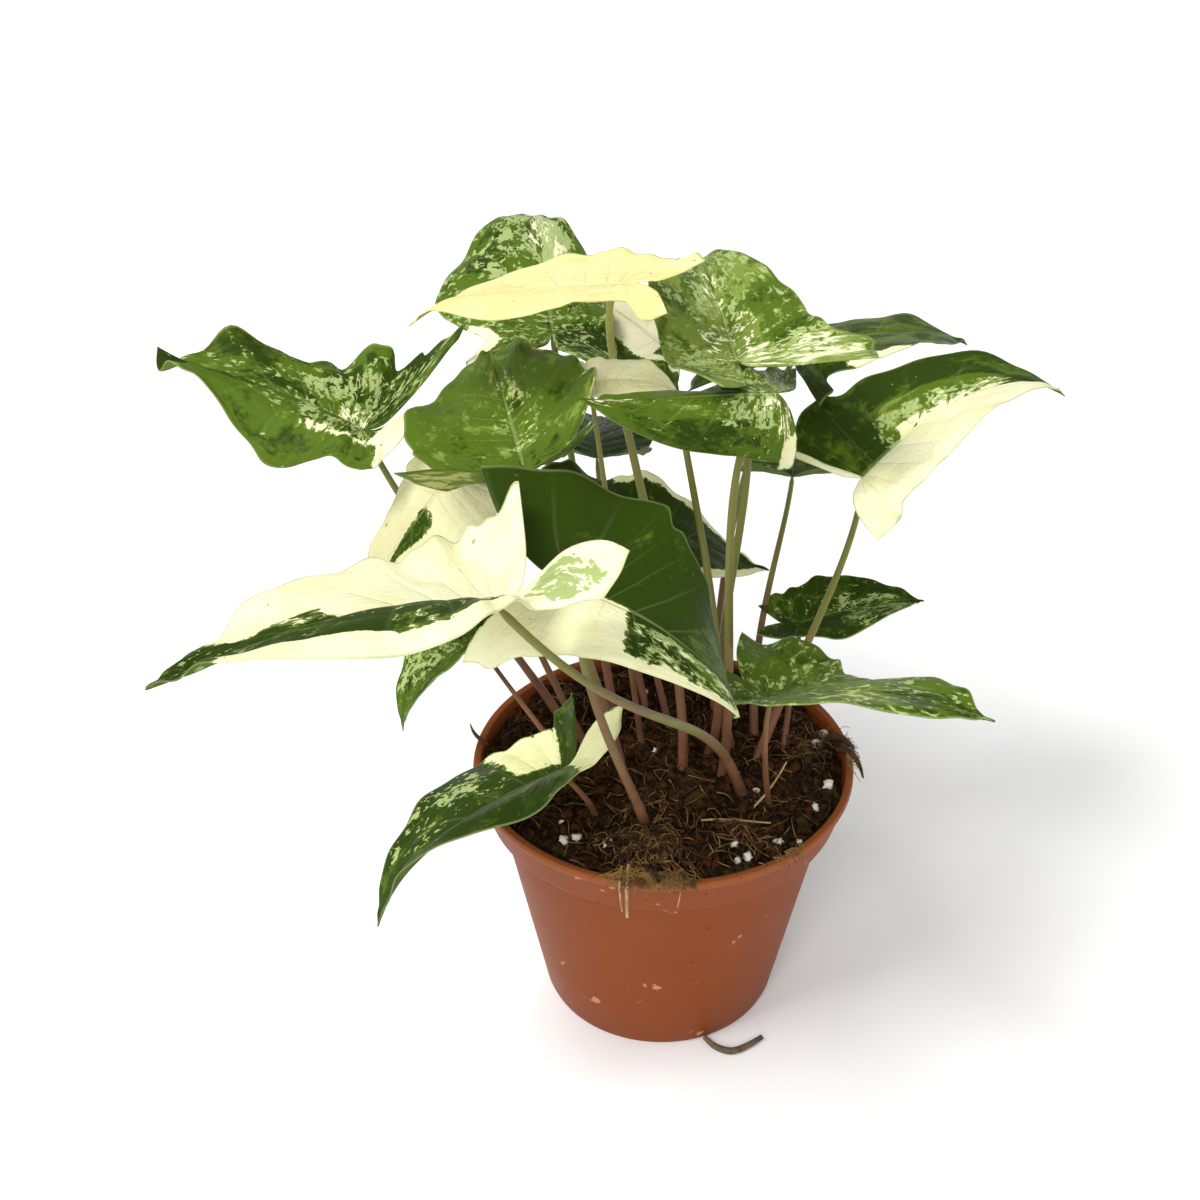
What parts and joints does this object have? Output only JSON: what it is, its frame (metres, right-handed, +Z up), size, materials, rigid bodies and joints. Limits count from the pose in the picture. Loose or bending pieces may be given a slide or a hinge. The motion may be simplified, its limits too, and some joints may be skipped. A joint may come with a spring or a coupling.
{
  "type": "potted arrowhead plant",
  "caption": "Variegated arrowhead plant with arrow-shaped cream and green leaves on slender stems, growing from peaty soil in a tapered terracotta-coloured nursery pot.",
  "frame": {"origin": "centre of the pot's flat base, on the surface it stands on", "axes": "+Z up along the pot's axis; the side seen in the picture faces -Y; +X to that view's right"},
  "size_m": [0.2758, 0.2742, 0.2588],
  "materials": {
    "pot_plastic": "semi-matt terracotta-coloured thin plastic",
    "potting_soil": "rough dark peat with fibres and white grains",
    "leaf_cream": "soft satin leaf, cream with green",
    "leaf_mottled": "soft satin leaf, green mottled with cream",
    "leaf_green": "soft satin leaf, dark green",
    "leaf_stem": "satin olive to pinkish brown leaf stalk",
    "dry_root": "dry grey-brown root"
  },
  "bodies": {
    "root": {"blade_back_high": "leaf_mottled", "blade_back_right": "leaf_green", "blade_behind_cream": "leaf_cream", "blade_behind_dark": "leaf_green", "blade_behind_low": "leaf_green", "blade_behind_right": "leaf_green", "blade_centre_high": "leaf_green", "blade_centre_low": "leaf_green", "blade_cream_top": "leaf_cream", "blade_far_left": "leaf_mottled", "blade_front_left": "leaf_cream", "blade_front_right": "leaf_mottled", "blade_inner_left": "leaf_cream", "blade_low_left": "leaf_mottled", "blade_low_right": "leaf_mottled", "blade_mid_right": "leaf_green", "blade_right": "leaf_green", "blade_small_cream": "leaf_cream", "blade_top_right": "leaf_mottled", "blade_under_left": "leaf_mottled", "pot": "pot_plastic", "soil": "potting_soil", "stem_back_high": "leaf_stem", "stem_back_right": "leaf_stem", "stem_behind_cream": "leaf_stem", "stem_behind_dark": "leaf_stem", "stem_behind_low": "leaf_stem", "stem_behind_right": "leaf_stem", "stem_centre_high": "leaf_stem", "stem_centre_low": "leaf_stem", "stem_cream_top": "leaf_stem", "stem_far_left": "leaf_stem", "stem_front_left": "leaf_stem", "stem_front_right": "leaf_stem", "stem_inner_left": "leaf_stem", "stem_low_left": "leaf_stem", "stem_low_right": "leaf_stem", "stem_mid_right": "leaf_stem", "stem_right": "leaf_stem", "stem_small_cream": "leaf_stem", "stem_top_right": "leaf_stem", "stem_under_left": "leaf_stem", "stray_root": "dry_root"}
  },
  "joints": []
}
